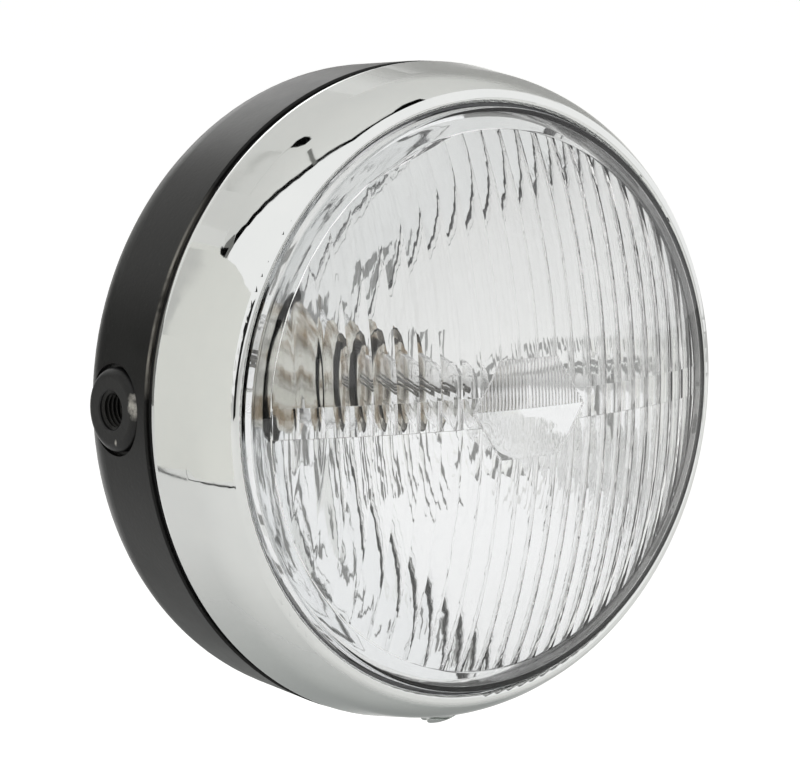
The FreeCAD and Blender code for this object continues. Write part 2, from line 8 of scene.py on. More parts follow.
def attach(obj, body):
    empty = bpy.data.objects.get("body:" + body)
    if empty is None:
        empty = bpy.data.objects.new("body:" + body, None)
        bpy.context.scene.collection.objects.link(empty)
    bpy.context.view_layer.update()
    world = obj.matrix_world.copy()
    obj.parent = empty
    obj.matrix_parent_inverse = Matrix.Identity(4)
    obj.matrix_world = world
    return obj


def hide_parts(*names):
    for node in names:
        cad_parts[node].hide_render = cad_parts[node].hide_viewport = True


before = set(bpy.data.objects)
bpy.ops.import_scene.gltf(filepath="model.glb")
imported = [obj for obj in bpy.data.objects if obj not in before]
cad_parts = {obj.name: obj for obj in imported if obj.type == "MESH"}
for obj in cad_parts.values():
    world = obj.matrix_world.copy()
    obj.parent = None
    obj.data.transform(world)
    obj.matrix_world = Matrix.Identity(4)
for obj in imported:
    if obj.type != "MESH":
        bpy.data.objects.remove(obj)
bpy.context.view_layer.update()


# The bucket: a deep bowl drawn from steel sheet, with a collar that the rim slips over.
# It is dipped, stoved and left satin black; the seats for the bosses are pressed in from outside.

bucket_y = -0.0075
# The lip's bright stretch, as y from the front edge and as heights: partly chafe, partly a painted highlight.
worn_edge = (0.0002, 0.0007)
worn_height = (0.004, 0.014, 0.036, 0.056)


def linear(code):
    """An sRGB hex colour as the linear RGBA that the shaders take."""
    parts = [int(code[i:i + 2], 16) / 255 for i in (1, 3, 5)]
    return [p / 12.92 if p <= 0.04045 else ((p + 0.055) / 1.055) ** 2.4 for p in parts] + [1]


def finish_named(name):
    """A new material with its node tree and its shader."""
    material = bpy.data.materials.new(name)
    material.use_nodes = True
    return material, material.node_tree, material.node_tree.nodes["Principled BSDF"]


def add(tree, kind, links, **settings):
    """Adds one node: settings are its properties, links its inputs as values or as other sockets."""
    made = tree.nodes.new(kind)
    for name, value in settings.items():
        setattr(made, name, value)
    for socket, value in links.items():
        if isinstance(value, bpy.types.NodeSocket):
            tree.links.new(value, made.inputs[socket])
        else:
            made.inputs[socket].default_value = value
    return made


def dress(material, *names):
    """Gives CAD nodes their finish."""
    for name in names:
        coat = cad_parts[name].data.materials
        coat.clear()
        coat.append(material)


# Stoved enamel on pickled steel: a soft broad sheen with a fine orange peel about 1.2 mm across,
# a little dust, and bright metal on a stretch of the edge that faces the rim: partly chafed paint, partly a painted
# highlight line on the rounded lip.
satin_enamel, tree, shader = finish_named("satin_black_stoved_enamel")
shader.inputs["Specular IOR Level"].default_value = 0.2
place = add(tree, "ShaderNodeTexCoord", {}).outputs["Object"]
peel = add(tree, "ShaderNodeTexNoise", {"Vector": place, "Scale": 1 / 0.0012, "Detail": 2.0})
cloud = add(tree, "ShaderNodeTexNoise", {"Vector": place, "Scale": 1 / 0.022, "Detail": 4.0, "Roughness": 0.6})
speck = add(tree, "ShaderNodeTexNoise", {"Vector": place, "Scale": 1 / 0.0007, "Detail": 1.0})
dust = add(tree, "ShaderNodeMapRange", {"Value": speck.outputs["Fac"], "From Min": 0.7, "From Max": 0.8,
                                        "To Max": 0.3})
tone = add(tree, "ShaderNodeMix", {"Factor": cloud.outputs["Fac"], "A": linear("#0c0c0c"), "B": linear("#171716")},
           data_type="RGBA")
dusty = add(tree, "ShaderNodeMix", {"Factor": dust.outputs["Result"], "A": tone.outputs["Result"],
                                    "B": linear("#4a4946")}, data_type="RGBA")
apart = add(tree, "ShaderNodeSeparateXYZ", {"Vector": place})
# Bright metal on the lip's stretch: partly chafed paint, partly a painted highlight line.
lip = add(tree, "ShaderNodeMapRange", {"Value": apart.outputs["Y"], "From Min": bucket_y + worn_edge[1],
                                       "From Max": bucket_y + worn_edge[0]})
chafe = add(tree, "ShaderNodeMapRange", {"Value": cloud.outputs["Fac"], "From Min": 0.36, "From Max": 0.5})
below = add(tree, "ShaderNodeMapRange", {"Value": apart.outputs["Z"], "From Min": worn_height[0],
                                         "From Max": worn_height[1]})
above = add(tree, "ShaderNodeMapRange", {"Value": apart.outputs["Z"], "From Min": worn_height[3],
                                         "From Max": worn_height[2]})
side = add(tree, "ShaderNodeMath", {0: below.outputs["Result"], 1: above.outputs["Result"]}, operation="MULTIPLY")
edge = add(tree, "ShaderNodeMath", {0: lip.outputs["Result"], 1: side.outputs["Value"]}, operation="MULTIPLY")
bare = add(tree, "ShaderNodeMath", {0: edge.outputs["Value"], 1: chafe.outputs["Result"]}, operation="MULTIPLY")
colour = add(tree, "ShaderNodeMix", {"Factor": bare.outputs["Value"], "A": dusty.outputs["Result"],
                                     "B": linear("#8d8a83")}, data_type="RGBA")
tree.links.new(colour.outputs["Result"], shader.inputs["Base Color"])
tree.links.new(bare.outputs["Value"], shader.inputs["Metallic"])
sheen = add(tree, "ShaderNodeMapRange", {"Value": cloud.outputs["Fac"], "From Min": 0.3, "From Max": 0.7,
                                         "To Min": 0.28, "To Max": 0.36})
tree.links.new(sheen.outputs["Result"], shader.inputs["Roughness"])
bump = add(tree, "ShaderNodeBump", {"Height": peel.outputs["Fac"], "Strength": 0.12, "Distance": 0.0002})
tree.links.new(bump.outputs["Normal"], shader.inputs["Normal"])
dress(satin_enamel, "bucket")


# The side bosses: turned steel discs on threaded sleeves, set in the bucket's pressed seats and
# drawn up by nuts inside. A bolt through each fork bracket screws into their M10 thread.

thread_pitch = 0.00125
thread_root = 0.00502
thread_crest = 0.0043
thread_ends = (0.0710, 0.0842)
boss_y = 0.0078
# Three bright spots on the boss as (y, z) and reach: partly rubbed metal, partly painted highlights.
rubbed_spots = (((-0.0016, 0.0022), 0.004), ((0.0182, 0.0004), 0.003), ((0.0055, -0.0078), 0.0011))


def thread_mesh(name, side):
    """The ridges of a cut thread as one helical strip along X."""
    steps = 48
    count = int((thread_ends[1] - thread_ends[0]) / thread_pitch * steps)
    section = [(-0.5, thread_root), (-0.08, thread_crest), (0.08, thread_crest), (0.5, thread_root)]
    points = []
    for step in range(count + 1):
        turn = 2 * math.pi * step / steps
        for shift, radius in section:
            x = thread_ends[0] + thread_pitch * (step / steps + shift)
            points.append((side * x, boss_y + radius * math.cos(turn), radius * math.sin(turn)))
    faces = []
    for step in range(count):
        for k in range(3):
            a = step * 4 + k
            faces.append((a, a + 1, a + 5, a + 4))
    mesh = bpy.data.meshes.new(name)
    mesh.from_pydata(points, [], faces)
    return mesh


# Blackened steel: as dark as the bucket and a little glossier, with a fine grain, and bright metal in three spots
# (y, z and reach): partly where the fork bracket has chafed it, partly a painted highlight where the steel catches the
# light.
black_steel, tree, shader = finish_named("blackened_turned_steel_rubbed_and_highlit")
shader.inputs["Specular IOR Level"].default_value = 0.35
place = add(tree, "ShaderNodeTexCoord", {}).outputs["Object"]
grain = add(tree, "ShaderNodeTexNoise", {"Vector": place, "Scale": 1 / 0.0009, "Detail": 3.0})
rub = add(tree, "ShaderNodeTexNoise", {"Vector": place, "Scale": 1 / 0.0014, "Detail": 3.0})
chafed = None
for middle, reach in rubbed_spots:
    shift = add(tree, "ShaderNodeVectorMath", {0: place, 1: (0, middle[0], middle[1])}, operation="SUBTRACT")
    level = add(tree, "ShaderNodeVectorMath", {0: shift.outputs["Vector"], 1: (0, 1.5, 0.75)}, operation="MULTIPLY")
    away = add(tree, "ShaderNodeVectorMath", {0: level.outputs["Vector"]}, operation="LENGTH")
    patch = add(tree, "ShaderNodeMapRange", {"Value": away.outputs["Value"], "From Min": reach, "From Max": reach / 3})
    if chafed:
        patch = add(tree, "ShaderNodeMath", {0: chafed, 1: patch.outputs["Result"]}, operation="MAXIMUM")
    chafed = patch.outputs[0]
# The spots turn to bright metal: partly wear, partly painted highlights.
worn = add(tree, "ShaderNodeMath", {0: chafed, 1: rub.outputs["Fac"]}, operation="MULTIPLY")
bare = add(tree, "ShaderNodeMapRange", {"Value": worn.outputs["Value"], "From Min": 0.22, "From Max": 0.62})
colour = add(tree, "ShaderNodeMix", {"Factor": bare.outputs["Result"], "A": linear("#141414"),
                                     "B": linear("#b4b1aa")}, data_type="RGBA")
tree.links.new(colour.outputs["Result"], shader.inputs["Base Color"])
metal = add(tree, "ShaderNodeMath", {0: bare.outputs["Result"], 1: 0.8}, operation="MULTIPLY")
tree.links.new(metal.outputs["Value"], shader.inputs["Metallic"])
shader.inputs["Roughness"].default_value = 0.4
bump = add(tree, "ShaderNodeBump", {"Height": grain.outputs["Fac"], "Strength": 0.2, "Distance": 0.0002})
tree.links.new(bump.outputs["Normal"], shader.inputs["Normal"])
dress(black_steel, "left_thread_boss", "right_thread_boss")

# The same steel in the thread: darker and oily, with a metal glint where light reaches a crest.
thread_steel, tree, shader = finish_named("cut_thread_steel")
place = add(tree, "ShaderNodeTexCoord", {}).outputs["Object"]
mark = add(tree, "ShaderNodeTexNoise", {"Vector": place, "Scale": 1 / 0.0015, "Detail": 3.0})
colour = add(tree, "ShaderNodeMix", {"Factor": mark.outputs["Fac"], "A": linear("#080808"),
                                     "B": linear("#2b2a28")}, data_type="RGBA")
tree.links.new(colour.outputs["Result"], shader.inputs["Base Color"])
shader.inputs["Metallic"].default_value = 0.6
shader.inputs["Roughness"].default_value = 0.33
for name, side in (("left_thread_ridges", -1), ("right_thread_ridges", 1)):
    ridges = bpy.data.objects.new(name, thread_mesh(name, side))
    bpy.context.scene.collection.objects.link(ridges)
    ridges.data.materials.append(thread_steel)
    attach(ridges, "root")

# Zinc plate with a clear passivate, on the boss nuts and the hidden fixings: pale grey with a crystal
# mottle about 3 mm across.
zinc, tree, shader = finish_named("zinc_plated_steel")
place = add(tree, "ShaderNodeTexCoord", {}).outputs["Object"]
mottle = add(tree, "ShaderNodeTexVoronoi", {"Vector": place, "Scale": 1 / 0.003})
tint = add(tree, "ShaderNodeMix", {"Factor": mottle.outputs["Distance"], "A": linear("#b9b8b2"),
                                   "B": linear("#8f918f")}, data_type="RGBA")
tree.links.new(tint.outputs["Result"], shader.inputs["Base Color"])
shader.inputs["Metallic"].default_value = 1.0
shader.inputs["Roughness"].default_value = 0.38
dress(zinc, "boss_nuts", "rim_hook", "screw_bracket", "reflector_tabs", "bulb_retainer")


# The rubber ring between rim and bucket: moulded black rubber, pinched when the rim screw is drawn up.
# The boot behind the bulb and the grommet in the bucket's wall are the same rubber.

# Moulded rubber: almost no sheen, a fine bloom and a matt grain about 0.6 mm across.
rubber, tree, shader = finish_named("moulded_black_rubber")
place = add(tree, "ShaderNodeTexCoord", {}).outputs["Object"]
bloom = add(tree, "ShaderNodeTexNoise", {"Vector": place, "Scale": 1 / 0.006, "Detail": 4.0})
grain = add(tree, "ShaderNodeTexNoise", {"Vector": place, "Scale": 1 / 0.0006, "Detail": 2.0})
tint = add(tree, "ShaderNodeMix", {"Factor": bloom.outputs["Fac"], "A": linear("#0c0c0c"), "B": linear("#1d1d1e")},
           data_type="RGBA")
tree.links.new(tint.outputs["Result"], shader.inputs["Base Color"])
shader.inputs["Roughness"].default_value = 0.62
shader.inputs["Specular IOR Level"].default_value = 0.3
bump = add(tree, "ShaderNodeBump", {"Height": grain.outputs["Fac"], "Strength": 0.3, "Distance": 0.0001})
tree.links.new(bump.outputs["Normal"], shader.inputs["Normal"])
dress(rubber, "rim_gasket", "bulb_boot", "wire_grommet")


# The rim: steel sheet, rolled and spun, with a flat lip round the glass and a seat for its screw.
# It hooks over the bucket at the top and is drawn down by the slotted screw at the bottom.

# Bright chromium over nickel: a near perfect mirror, faintly warm, with a slow waviness of the
# pressed sheet about 40 mm long and a light haze of wiping marks.
chrome, tree, shader = finish_named("polished_chrome_plate")
place = add(tree, "ShaderNodeTexCoord", {}).outputs["Object"]
wave = add(tree, "ShaderNodeTexNoise", {"Vector": place, "Scale": 1 / 0.04, "Detail": 1.0})
haze = add(tree, "ShaderNodeTexNoise", {"Vector": place, "Scale": 1 / 0.012, "Detail": 5.0, "Roughness": 0.65})
tint = add(tree, "ShaderNodeMix", {"Factor": haze.outputs["Fac"], "A": linear("#e3e5e4"), "B": linear("#ebecea")},
           data_type="RGBA")
tree.links.new(tint.outputs["Result"], shader.inputs["Base Color"])
gloss = add(tree, "ShaderNodeMapRange", {"Value": haze.outputs["Fac"], "From Min": 0.35, "From Max": 0.75,
                                         "To Min": 0.02, "To Max": 0.07})
tree.links.new(gloss.outputs["Result"], shader.inputs["Roughness"])
shader.inputs["Metallic"].default_value = 1.0
bump = add(tree, "ShaderNodeBump", {"Height": wave.outputs["Fac"], "Strength": 0.1, "Distance": 0.0006})
tree.links.new(bump.outputs["Normal"], shader.inputs["Normal"])
dress(chrome, "rim", "rim_screw")


# The lens: pressed clear glass, smooth outside and fluted inside, with a plain margin, a level band
# of its own flutes across the middle and a hexagon whose upper half is finely ribbed.

crown_y = -0.0565
dome_r = 0.155235
dome_y = crown_y + dome_r
edge_r = 0.0746
flange_r = 0.0776
inner_edge_r = 0.0726
edge_round = 0.0009
field_r = 0.0682
flange_front_y = -0.0328
flange_back_y = -0.0298
cusp_r = dome_r - 0.004
margin_r = cusp_r - 0.0003
margin_ring = 0.00004
flute = 0.0059
flute_depth = 0.0004
band = 0.0038
band_r = cusp_r + 0.0003
band_depth = 0.0009
rib = 0.0011
rib_r = cusp_r - 0.000575
rib_depth = 0.0003
plain_r = cusp_r - 0.0005
nothing = 0.0000001
hex_half_w, hex_half_e, hex_half_h = 0.0175, 0.009, 0.0124


def scallop(x, radius, pitch, depth):
    """Distance from the dome's cross axis to a scalloped barrel at x."""
    middle = round(x / pitch) * pitch
    left = math.sqrt(radius ** 2 - (middle - pitch / 2) ** 2)
    right = math.sqrt(radius ** 2 - (middle + pitch / 2) ** 2)
    share = (x - middle) / pitch + 0.5
    round_r = (pitch ** 2 / 4 + depth ** 2) / (2 * depth)
    rise = math.sqrt(max(0, round_r ** 2 - (x - middle) ** 2)) - (round_r - depth)
    return left + (right - left) * share + rise


def lens_back(kind, x, z):
    """Where the glass's back stands, for the fluted field, the band, or the hexagon's two halves."""
    if kind == "field":
        return dome_y - math.sqrt(scallop(x, cusp_r, flute, flute_depth) ** 2 - z * z)
    if kind == "band":
        return dome_y - math.sqrt(scallop(x, band_r, flute, band_depth) ** 2 - z * z)
    if kind == "ribs":
        return dome_y - math.sqrt(scallop(x, rib_r, rib, rib_depth) ** 2 - z * z)
    return dome_y - math.sqrt(plain_r ** 2 - x * x - z * z)


def hexagon_half(x):
    """Half the hexagon's height at x."""
    if abs(x) >= hex_half_w:
        return 0
    return min(hex_half_h, hex_half_h * (hex_half_w - abs(x)) / (hex_half_w - hex_half_e))


# The back is a grid of columns: lines at each flute and rib and at the hexagon's corners, each run from
# the field below to the field above. A strip with no height at a column takes no step there.
columns = set()
for index in range(-12, 13):
    for part in range(11):
        columns.add(round((index - 0.5 + part / 10) * flute, 7))
for index in range(-16, 17):
    for part in range(9):
        columns.add(round((index - 0.5 + part / 8) * rib, 7))
columns |= {-hex_half_w, -hex_half_e, hex_half_e, hex_half_w}
reach = math.sqrt(field_r ** 2 - band ** 2)
columns = sorted(c for c in columns if abs(c) < reach - 0.0001)
columns = [-reach] + [b for a, b in zip([-1] + columns, columns) if b - a > 0.00004] + [reach]
points = []
faces = []
strips = (("field", 44), ("band", 5), ("plain", 14), ("ribs", 14), ("band", 5), ("field", 44))
rows_before = None
for x in columns:
    top = math.sqrt(max(field_r ** 2 - x * x, 0))
    half = hexagon_half(x)
    outer = max(band, half)
    stops = (-top, -min(outer, top), -half, 0, half, min(outer, top), top)
    rows = []
    waiting = 0
    for (kind, count), low, high in zip(strips, stops, stops[1:]):
        if high - low < nothing:
            if rows:
                rows += [rows[-1]] * (count + 1)
            else:
                waiting += count + 1
            continue
        for row in range(count + 1):
            z = low + (high - low) * row / count
            rows.append(len(points))
            points.append((x, lens_back(kind, x, z), z))
        rows = [rows[0]] * waiting + rows
        waiting = 0
    if rows_before:
        for a, b, c, d in zip(rows_before, rows_before[1:], rows, rows[1:]):
            corners = list(dict.fromkeys((a, c, d, b)))
            if len(corners) > 2:
                faces.append(corners)
    rows_before = rows

# The front, the flange and the margin are turned about the axis, and the margin is bridged to the grid.
around = 720
section = [(0.0, crown_y)]
for step in range(1, 41):
    radius = (edge_r - edge_round) * step / 40
    section.append((radius, dome_y - math.sqrt(dome_r ** 2 - radius ** 2)))
shoulder_y = section[-1][1]
for step in range(1, 7):
    turn = math.pi / 2 * step / 6
    section.append((edge_r - edge_round * (1 - math.sin(turn)), shoulder_y + edge_round * (1 - math.cos(turn))))
section += [(edge_r, flange_front_y), (edge_r, flange_front_y), (flange_r, flange_front_y),
            (flange_r, flange_back_y), (inner_edge_r, flange_back_y)]
for step in range(12):
    radius = inner_edge_r + (field_r - inner_edge_r) * step / 11
    section.append((radius, dome_y - math.sqrt(margin_r ** 2 - radius ** 2) - margin_ring * (step % 2)))
first = len(points)
for radius, y in section:
    for step in range(around):
        turn = 2 * math.pi * step / around
        points.append((radius * math.cos(turn), y, radius * math.sin(turn)))
for ring in range(len(section) - 1):
    for step in range(around):
        a = first + ring * around + step
        b = first + ring * around + (step + 1) % around
        faces.append((a, a + around, b + around, b))
mesh = bpy.data.meshes.new("lens_glass_fine")
mesh.from_pydata(points, [], faces)
work = bmesh.new()
work.from_mesh(mesh)
bmesh.ops.remove_doubles(work, verts=work.verts, dist=0.0000005)
bmesh.ops.dissolve_degenerate(work, edges=work.edges, dist=0.0000005)
bmesh.ops.bridge_loops(work, edges=[e for e in work.edges if e.is_boundary])
bmesh.ops.recalc_face_normals(work, faces=work.faces)
work.to_mesh(mesh)
work.free()
mesh.shade_smooth()
mesh.set_sharp_from_angle(angle=math.radians(22))

# Pressed lime glass: clear and fire polished outside. Its back keeps the marks of the mould: a slow
# ripple about 9 mm long and upright striations about 1.4 mm apart.
clear_glass, tree, shader = finish_named("pressed_clear_glass")
place = add(tree, "ShaderNodeTexCoord", {}).outputs["Object"]
ripple = add(tree, "ShaderNodeTexNoise", {"Vector": place, "Scale": 1 / 0.009, "Detail": 2.0})
bump = add(tree, "ShaderNodeBump", {"Height": ripple.outputs["Fac"], "Strength": 0.05, "Distance": 0.0006})
moulded_glass, tree_back, shader_back = finish_named("pressed_clear_glass_mould_marks")
place_back = add(tree_back, "ShaderNodeTexCoord", {}).outputs["Object"]
ripple_back = add(tree_back, "ShaderNodeTexNoise", {"Vector": place_back, "Scale": 1 / 0.009, "Detail": 2.0})
drawn = add(tree_back, "ShaderNodeMapping", {"Vector": place_back, "Scale": (1 / 0.0014, 1 / 0.0014, 1 / 0.08)})
marks = add(tree_back, "ShaderNodeTexNoise", {"Vector": drawn.outputs["Vector"], "Scale": 1.0, "Detail": 1.0})
slow = add(tree_back, "ShaderNodeBump", {"Height": ripple_back.outputs["Fac"], "Strength": 0.12, "Distance": 0.0006})
bump_back = add(tree_back, "ShaderNodeBump", {"Height": marks.outputs["Fac"], "Strength": 0.15, "Distance": 0.0003,
                                              "Normal": slow.outputs["Normal"]})
for glass_tree, glass, relief in ((tree, shader, bump), (tree_back, shader_back, bump_back)):
    glass.inputs["Base Color"].default_value = linear("#ffffff")
    glass.inputs["Transmission Weight"].default_value = 1.0
    glass.inputs["Roughness"].default_value = 0.0
    glass.inputs["IOR"].default_value = 1.51
    glass_tree.links.new(relief.outputs["Normal"], glass.inputs["Normal"])
lens = bpy.data.objects.new("lens_glass_fine", mesh)
bpy.context.scene.collection.objects.link(lens)
mesh.materials.append(clear_glass)
mesh.materials.append(moulded_glass)
for face in mesh.polygons:
    face.material_index = int(face.normal.y > 0 and face.center.x ** 2 + face.center.z ** 2 < field_r ** 2)
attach(lens, "root")
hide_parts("lens")


# The seal: a flat ring of soft grey rubber, moulded, between the glass and the rim's lip.
# The tabs press the glass against it.

# Grey rubber: pale, matt and a little clouded.
grey_rubber, tree, shader = finish_named("grey_sealing_rubber")
place = add(tree, "ShaderNodeTexCoord", {}).outputs["Object"]
cloud = add(tree, "ShaderNodeTexNoise", {"Vector": place, "Scale": 1 / 0.005, "Detail": 3.0})
tint = add(tree, "ShaderNodeMix", {"Factor": cloud.outputs["Fac"], "A": linear("#77787a"), "B": linear("#96979a")},
           data_type="RGBA")
tree.links.new(tint.outputs["Result"], shader.inputs["Base Color"])
shader.inputs["Roughness"].default_value = 0.55
dress(grey_rubber, "lens_seal")


# The reflector: pressed steel sheet, a parabola with a collar for the bulb, held in the rim by six tabs.
# Its inside is silvered in a vacuum.

collar_hole_r = 0.013

# Aluminium film on lacquer: a clean bright mirror with a slow ripple. The film stops at the collar,
# whose bore is left dark.
silvering, tree, shader = finish_named("vacuum_aluminised_lacquer")
place = add(tree, "ShaderNodeTexCoord", {}).outputs["Object"]
ripple = add(tree, "ShaderNodeTexNoise", {"Vector": place, "Scale": 1 / 0.012, "Detail": 1.5})
film = add(tree, "ShaderNodeTexNoise", {"Vector": place, "Scale": 1 / 0.03, "Detail": 4.0})
tint = add(tree, "ShaderNodeMix", {"Factor": film.outputs["Fac"], "A": linear("#f0f1f2"), "B": linear("#f8f9f9")},
           data_type="RGBA")
flat = add(tree, "ShaderNodeVectorMath", {0: place, 1: (1, 0, 1)}, operation="MULTIPLY")
away = add(tree, "ShaderNodeVectorMath", {0: flat.outputs["Vector"]}, operation="LENGTH")
bore = add(tree, "ShaderNodeMapRange", {"Value": away.outputs["Value"], "From Min": collar_hole_r + 0.0006,
                                        "From Max": collar_hole_r + 0.0003})
colour = add(tree, "ShaderNodeMix", {"Factor": bore.outputs["Result"], "A": tint.outputs["Result"],
                                     "B": linear("#141312")}, data_type="RGBA")
tree.links.new(colour.outputs["Result"], shader.inputs["Base Color"])
shader.inputs["Metallic"].default_value = 1.0
shader.inputs["Roughness"].default_value = 0.03
bump = add(tree, "ShaderNodeBump", {"Height": ripple.outputs["Fac"], "Strength": 0.12, "Distance": 0.0008})
tree.links.new(bump.outputs["Normal"], shader.inputs["Normal"])
dress(silvering, "reflector")


# The main bulb: a glass envelope on a metal base with a round flange, two filaments on support wires,
# a shield under the dipped one and three blades behind for the plug.

# Blown quartz glass: thin and clear.
envelope, tree, shader = finish_named("clear_bulb_glass")
place = add(tree, "ShaderNodeTexCoord", {}).outputs["Object"]
streak = add(tree, "ShaderNodeTexNoise", {"Vector": place, "Scale": 1 / 0.008, "Detail": 1.0})
shader.inputs["Base Color"].default_value = linear("#fbfbfb")
shader.inputs["Transmission Weight"].default_value = 1.0
shader.inputs["Roughness"].default_value = 0.0
shader.inputs["IOR"].default_value = 1.46
bump = add(tree, "ShaderNodeBump", {"Height": streak.outputs["Fac"], "Strength": 0.08, "Distance": 0.0004})
tree.links.new(bump.outputs["Normal"], shader.inputs["Normal"])
dress(envelope, "bulb_glass")

# Nickel plate on brass: warm grey, softly bright, browned by heat in places.
nickel, tree, shader = finish_named("nickel_plated_brass_browned")
place = add(tree, "ShaderNodeTexCoord", {}).outputs["Object"]
heat = add(tree, "ShaderNodeTexNoise", {"Vector": place, "Scale": 1 / 0.006, "Detail": 3.0})
brown = add(tree, "ShaderNodeMapRange", {"Value": heat.outputs["Fac"], "From Min": 0.45, "From Max": 0.62})
tint = add(tree, "ShaderNodeMix", {"Factor": brown.outputs["Result"], "A": linear("#e4e2da"),
                                   "B": linear("#a3937d")}, data_type="RGBA")
tree.links.new(tint.outputs["Result"], shader.inputs["Base Color"])
shader.inputs["Metallic"].default_value = 1.0
shader.inputs["Roughness"].default_value = 0.22
dress(nickel, "bulb_base", "bulb_blades")

# Drawn tungsten: dark grey, with fine drawing lines.
tungsten, tree, shader = finish_named("drawn_tungsten_wire")
place = add(tree, "ShaderNodeTexCoord", {}).outputs["Object"]
drawn = add(tree, "ShaderNodeTexWave", {"Vector": place, "Scale": 1 / 0.0022}, bands_direction="Y")
tint = add(tree, "ShaderNodeMix", {"Factor": drawn.outputs["Fac"], "A": linear("#5b5955"), "B": linear("#8a8781")},
           data_type="RGBA")
tree.links.new(tint.outputs["Result"], shader.inputs["Base Color"])
shader.inputs["Metallic"].default_value = 1.0
shader.inputs["Roughness"].default_value = 0.35
dress(tungsten, "bulb_filaments")

# Rolled molybdenum sheet: a light grey satin metal with soft patches.
rolled, tree, shader = finish_named("rolled_molybdenum_sheet")
place = add(tree, "ShaderNodeTexCoord", {}).outputs["Object"]
patch = add(tree, "ShaderNodeTexNoise", {"Vector": place, "Scale": 1 / 0.003, "Detail": 2.0})
tint = add(tree, "ShaderNodeMix", {"Factor": patch.outputs["Fac"], "A": linear("#c9c9c5"), "B": linear("#dededb")},
           data_type="RGBA")
tree.links.new(tint.outputs["Result"], shader.inputs["Base Color"])
shader.inputs["Metallic"].default_value = 1.0
shader.inputs["Roughness"].default_value = 0.2
dress(rolled, "bulb_shield")


# The studio: a pale floor well below the lamp, a white surround, two soft lamps, a white board on the
# left, and dark edges of the light panels, which the chrome mirrors as thin lines. None is part of the lamp.

# White paper: matt, lifted to white for the eye, so that only the lamp's shadow shows on it.
paper, tree, shader = finish_named("white_floor_paper")
path = add(tree, "ShaderNodeLightPath", {})
mirrored = add(tree, "ShaderNodeMath", {0: path.outputs["Is Glossy Ray"], 1: path.outputs["Is Transmission Ray"]},
               operation="MAXIMUM")
seen = add(tree, "ShaderNodeMath", {0: mirrored.outputs["Value"], 1: 0.1, 2: path.outputs["Is Camera Ray"]},
           operation="MULTIPLY_ADD")
lift = add(tree, "ShaderNodeMapRange", {"Value": seen.outputs["Value"], "To Max": 0.5})
shader.inputs["Base Color"].default_value = linear("#ededeb")
shader.inputs["Roughness"].default_value = 0.9
shader.inputs["Specular IOR Level"].default_value = 0.0
shader.inputs["Emission Color"].default_value = (1, 1, 1, 1)
tree.links.new(lift.outputs["Result"], shader.inputs["Emission Strength"])
floor_mesh = bpy.data.meshes.new("studio_floor")
floor_mesh.from_pydata([(-9, -9, -0.19), (9, -9, -0.19), (9, 9, -0.19), (-9, 9, -0.19)], [], [(0, 1, 2, 3)])
floor_mesh.materials.append(paper)
floor = bpy.data.objects.new("studio_floor", floor_mesh)
bpy.context.scene.collection.objects.link(floor)

# Matt finishes of the room: felt, card, curtain, paint, paper and cloth. The number is how far each glows.
stage_finish = {}
for name, code, glow in (("black_felt", "#0a0a0a", 0), ("grey_card", "#8c8c8a", 0), ("wall_paint", "#d8d8d5", 0.3),
                         ("pale_grey_card", "#cfcfcc", 0.1), ("charcoal_curtain", "#2b2b2b", 0),
                         ("warm_board_paper", "#e6e6e0", 0.2), ("softbox_cloth", "#f2f2f0", 1.2),
                         ("white_bounce", "#f2f2f0", 0.6)):
    stage_finish[name], tree, shader = finish_named(name)
    shader.inputs["Emission Color"].default_value = (1, 1, 1, 1)
    shader.inputs["Emission Strength"].default_value = glow
    shader.inputs["Base Color"].default_value = linear(code)
    shader.inputs["Roughness"].default_value = 1.0
    shader.inputs["Specular IOR Level"].default_value = 0.0


def card(name, one_side, other_side, finish, chrome=True, glass=True):
    """A card between two lines of points, seen in mirrors and through glass and casting no light or shade."""
    count = len(one_side)
    shape = bpy.data.meshes.new(name)
    shape.from_pydata([tuple(p) for p in one_side + other_side], [],
                      [(k, k + 1, count + k + 1, count + k) for k in range(count - 1)])
    shape.materials.append(stage_finish[finish])
    piece = bpy.data.objects.new(name, shape)
    bpy.context.scene.collection.objects.link(piece)
    piece.visible_camera = False
    piece.visible_shadow = False
    piece.visible_diffuse = False
    piece.visible_glossy = chrome
    piece.visible_transmission = glass


def strip(name, line, finish):
    """A card along points (x, y, z, half width) that faces the lamp."""
    centre = [Vector(p[:3]) for p in line]
    sides = []
    for index, spot in enumerate(centre):
        run = centre[min(index + 1, len(centre) - 1)] - centre[max(index - 1, 0)]
        sides.append(spot.cross(run).normalized() * line[index][3])
    card(name, [c + s for c, s in zip(centre, sides)], [c - s for c, s in zip(centre, sides)], finish, glass=False)


board_x = -0.46
floor_z = -0.189
board_edge = ((0.5, 0.47), (0.27, 0.385), (0.08, 0.35), (-0.03, 0.318), (-0.12, 0.278), (-0.3, 0.2))
card("white_board", [(board_x, y, floor_z) for y, z in board_edge], [(board_x, y, z) for y, z in board_edge],
     "warm_board_paper")
foot_near = ((-0.44, 0.313), (-0.428, 0.302), (-0.417, 0.291), (-0.405, 0.279), (-0.396, 0.268), (-0.425, 0.153),
             (-0.434, 0.029), (-0.426, -0.064), (-0.388, -0.223))
foot_far = ((-0.482, 0.342), (-0.456, 0.322), (-0.428, 0.299), (-0.413, 0.284), (-0.403, 0.273), (-0.434, 0.152),
            (-0.442, 0.026), (-0.434, -0.068), (-0.4, -0.23))
card("board_foot", [p + (-0.184,) for p in foot_near], [p + (-0.184,) for p in foot_far], "black_felt")
strip("board_top", [(-0.445, 0.4, 0.428, 0.005), (-0.445, 0.367, 0.412, 0.011), (-0.445, 0.27, 0.392, 0.016)],
      "black_felt")
